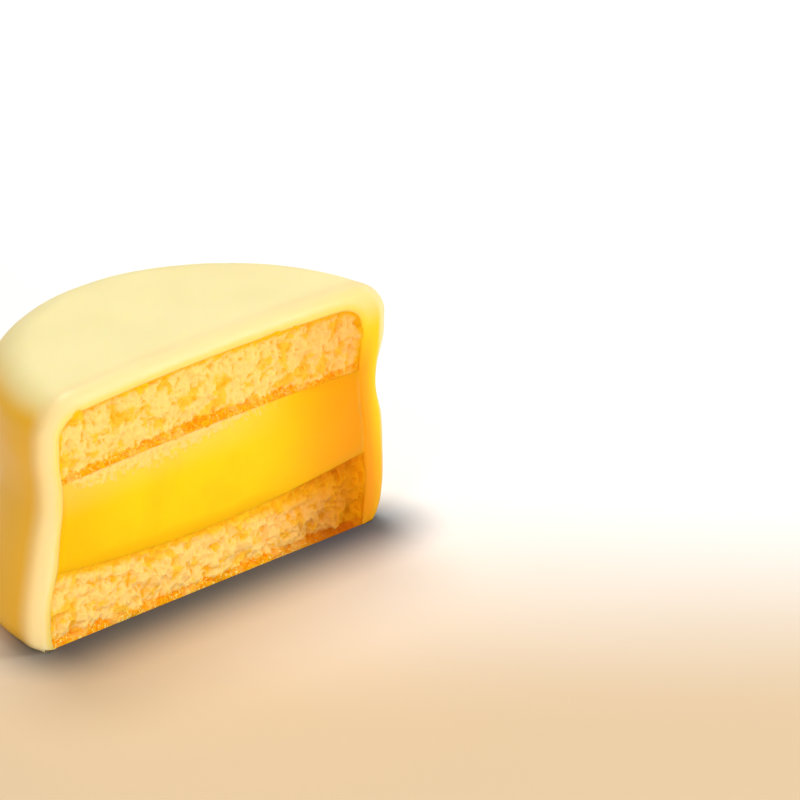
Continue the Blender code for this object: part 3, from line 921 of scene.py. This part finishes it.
def filling_material(colours):
    """Smooth filling, deeper towards its ends, with painted shade at the right end and along the base, and
    crumb dragged over its upper edge.
    """
    material, tree, shader = new_material("filling_smooth")
    place, parts = object_place(tree)
    above, below = stored_value(tree, "above_base"), stored_value(tree, "under_top")

    # Painted shade at the right end, along the base and under the top at the right; deeper also at the left
    # end and in soft clouds
    end = use_group(tree, "End shade", {"From": 2.0, "To": 23.0}, place)["Mask"]
    left = ramp(tree, parts["X"], -24 * MM, -12 * MM, 0.45, 0.0)
    low = ramp(tree, above, 0.2, 2.6, 0.55, 0.0)
    clouds = ramp(tree, noise(tree, place, 7.0, 2.0), 0.4, 0.7, 0.0, 0.2)
    shaded = product(tree, ramp(tree, below, 0.3, 3.0, 1.0, 0.0), ramp(tree, parts["X"], 4 * MM, 20 * MM))
    deep = end
    for mask in (left, low, clouds, shaded):
        deep = combine(tree, "MAXIMUM", deep, mask)
    body = mix_colours(tree, deep, colours.filling, colours.filling_deep_and_shade)
    # Painted shade, deeper still, at the far right end
    far = ramp(tree, parts["X"], 10 * MM, 25 * MM, 0.0, 0.5)
    body = mix_colours(tree, product(tree, far, deep), body, colours.shade_end)
    # Painted shade beside the coating at the right end, a lighter amber
    border = product(tree, ramp(tree, stored_value(tree, "rim"), 0.1, 0.8, 0.8, 0.0), end)
    body = mix_colours(tree, border, body, SHADED_FILLING_BORDER)

    # Milky under the crumb, and smeared with it in lumps and streaks
    milky = product(tree, ramp(tree, below, 0.8, 5.0, 0.28, 0.0),
                    ramp(tree, parts["X"], 0.0, 14 * MM, 1.0, 0.0))
    body = mix_colours(tree, milky, body, colours.crumb)
    smear = stored_value(tree, "smear")
    mask = ramp(tree, jitter(tree, place, 0.8, 2.4, smear), 0.38, 0.64, 0.0, 0.88)
    mask = product(tree, mask, ramp(tree, smear, 0.02, 0.15))
    streak = noise(tree, place, 0.55, 2.0, stretch=(1.0, 1.0, 0.3))
    drag = product(tree, ramp(tree, streak, 0.50, 0.66), ramp(tree, smear, 0.02, 0.35, 0.0, 0.5))
    mask = combine(tree, "MAXIMUM", mask, drag)
    body = mix_colours(tree, mask, body, colours.crumb)

    tree.links.new(body, shader.inputs["Base Color"])
    tree.links.new(ramp(tree, mask, 0.0, 1.0, 0.42, 0.8), shader.inputs["Roughness"])
    set_gloss(shader, 0.12, (1.0, 0.85, 0.45))
    soften(shader, 0.4, 3.0, (1.0, 0.5, 0.06))
    fine = use_group(tree, "Grain", {"Size": 0.5}, place)["Height"]
    bump(tree, shader, product(tree, fine, combine(tree, "ADD", mask, 0.10)), 0.4, 0.2)
    return material


def floor_material():
    """Pale floor: beige in front, white behind, and a soft shade along the foot of the cut."""
    material, tree, shader = new_material("floor_pale")
    place, parts = object_place(tree)
    turn = math.radians(VIEW_AZIMUTH)
    forward = combine(tree, "ADD", product(tree, parts["X"], math.sin(turn)),
                      product(tree, parts["Y"], -math.cos(turn)))
    uneven = product(tree, noise(tree, place, 30.0), 4 * MM)
    share = ramp(tree, combine(tree, "ADD", forward, uneven), -25 * MM, 52 * MM)
    body = mix_colours(tree, share, FLOOR_BEHIND, FLOOR_IN_FRONT)
    across = combine(tree, "SUBTRACT", combine(tree, "ABSOLUTE", parts["X"]), 24 * MM)
    across = combine(tree, "MAXIMUM", across, 0.0)
    before = combine(tree, "SUBTRACT", CUT_Y, parts["Y"])
    away = add_node(tree, "ShaderNodeCombineXYZ", links={0: across, 1: before}).outputs[0]
    away = add_node(tree, "ShaderNodeVectorMath", links={0: away}, operation="LENGTH").outputs["Value"]
    shade = ramp(tree, away, 0.0, 12 * MM, 0.93, 0.0)
    body = mix_colours(tree, shade, body, FLOOR_UNDER_CUT)
    tree.links.new(body, shader.inputs["Base Color"])
    shader.inputs["Roughness"].default_value = 0.6
    shader.inputs["Specular IOR Level"].default_value = 0.2
    return material


def add_lamp(name, place, power, size):
    """A round lamp at a place, turned to the lamps' aim."""
    lamp = bpy.data.lights.new(name, "AREA")
    lamp.shape = "DISK"
    lamp.energy = power
    lamp.size = size
    made = bpy.data.objects.new(name, lamp)
    made.location = place
    made.rotation_mode = "QUATERNION"
    made.rotation_quaternion = (Vector(LAMP_AIM) - Vector(place)).to_track_quat("-Z", "Y")
    bpy.context.scene.collection.objects.link(made)

def add_camera():
    """The photograph's camera: the aim point lands on its pixel."""
    a, e = math.radians(VIEW_AZIMUTH), math.radians(VIEW_ELEVATION)
    back = Vector((math.sin(a) * math.cos(e), -math.cos(a) * math.cos(e), math.sin(e)))
    right = Vector((math.cos(a), math.sin(a), 0.0))
    up = back.cross(right)
    half = IMAGE_SIDE_PX / 2
    across = (AIM_PX[0] - half) / VIEW_FOCAL_PX * VIEW_DISTANCE
    above = -(AIM_PX[1] - half) / VIEW_FOCAL_PX * VIEW_DISTANCE
    data = bpy.data.cameras.new("camera")
    data.sensor_width = SENSOR_MM
    data.lens = VIEW_FOCAL_PX / IMAGE_SIDE_PX * SENSOR_MM
    data.clip_start = 0.01
    camera = bpy.data.objects.new("camera", data)
    camera.rotation_mode = "QUATERNION"
    camera.rotation_quaternion = Matrix((right, up, back)).transposed().to_quaternion()
    camera.location = Vector(AIM_POINT) - right * across - up * above + back * VIEW_DISTANCE
    bpy.context.scene.collection.objects.link(camera)
    bpy.context.scene.camera = camera


class ALFAJOR_OT_coating(bpy.types.Operator):
    """Model the coating with its softened cut edge"""

    bl_idname = "alfajor.coating"
    bl_label = "Coating"

    def execute(self, context):
        piece = model_coating(context.scene.alfajor_sizes)
        piece.data.materials.append(coating_material(context.scene.alfajor_colours))
        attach(piece, "root")
        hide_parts("coating")
        return {"FINISHED"}


class ALFAJOR_OT_biscuits(bpy.types.Operator):
    """Model the torn crumb of both biscuits"""

    bl_idname = "alfajor.biscuits"
    bl_label = "Biscuits"

    def execute(self, context):
        sizes, colours = context.scene.alfajor_sizes, context.scene.alfajor_colours
        for node, name, line, golden, offset in BISCUITS:
            piece = model_biscuit(node, name, sizes, offset)
            piece.data.materials.append(crumb_material(name + "_baked", colours, line, golden))
            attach(piece, "root")
            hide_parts(node)
        return {"FINISHED"}


class ALFAJOR_OT_filling(bpy.types.Operator):
    """Model the smooth filling with the crumb dragged over it"""

    bl_idname = "alfajor.filling"
    bl_label = "Filling"

    def execute(self, context):
        piece = model_filling(context.scene.alfajor_sizes)
        piece.data.materials.append(filling_material(context.scene.alfajor_colours))
        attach(piece, "root")
        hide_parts("filling")
        return {"FINISHED"}


class ALFAJOR_OT_effects(bpy.types.Operator):
    """Make the shader groups that the finishes share"""

    bl_idname = "alfajor.effects"
    bl_label = "Shared effects"

    def execute(self, context):
        make_end_shade()
        make_grain()
        return {"FINISHED"}


class ALFAJOR_OT_studio(bpy.types.Operator):
    """Set up the pale floor, the soft lights and the camera"""

    bl_idname = "alfajor.studio"
    bl_label = "Studio"

    def execute(self, context):
        bpy.ops.object.select_all(action="DESELECT")
        bpy.ops.mesh.primitive_plane_add(size=FLOOR_SIDE, location=(0, 0, -FLOOR_DROP))
        floor = context.object
        floor.name = "floor"
        floor.data.materials.append(floor_material())
        for lamp in LAMPS:
            add_lamp(*lamp)
        world = bpy.data.worlds.new("studio")
        world.use_nodes = True
        sky = world.node_tree.nodes["Background"].inputs
        sky["Color"].default_value = SKY_COLOUR
        sky["Strength"].default_value = SKY_STRENGTH
        context.scene.world = world
        context.scene.view_settings.view_transform = "Standard"
        add_camera()
        return {"FINISHED"}


class ALFAJOR_PT_panel(bpy.types.Panel):
    """Sidebar panel that lists the steps and the values they use"""

    bl_label = "Alfajor"
    bl_idname = "ALFAJOR_PT_panel"
    bl_space_type = "VIEW_3D"
    bl_region_type = "UI"
    bl_category = "Alfajor"

    def draw(self, context):
        for step in STEPS:
            self.layout.operator(step.bl_idname)
        for group in (context.scene.alfajor_sizes, context.scene.alfajor_colours):
            column = self.layout.column()
            for name in group.__annotations__:
                column.prop(group, name)


STEPS = (ALFAJOR_OT_effects, ALFAJOR_OT_coating, ALFAJOR_OT_biscuits, ALFAJOR_OT_filling, ALFAJOR_OT_studio)
CLASSES = (AlfajorSizes, AlfajorColours, *STEPS, ALFAJOR_PT_panel)


def register():
    for item in CLASSES:
        bpy.utils.register_class(item)
    bpy.types.Scene.alfajor_sizes = PointerProperty(type=AlfajorSizes)
    bpy.types.Scene.alfajor_colours = PointerProperty(type=AlfajorColours)


def unregister():
    del bpy.types.Scene.alfajor_colours
    del bpy.types.Scene.alfajor_sizes
    for item in reversed(CLASSES):
        bpy.utils.unregister_class(item)


def main():
    """Registers the add-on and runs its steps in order."""
    register()
    bpy.ops.alfajor.effects()
    bpy.ops.alfajor.coating()
    bpy.ops.alfajor.biscuits()
    bpy.ops.alfajor.filling()
    bpy.ops.alfajor.studio()


if __name__ == "__main__":
    main()
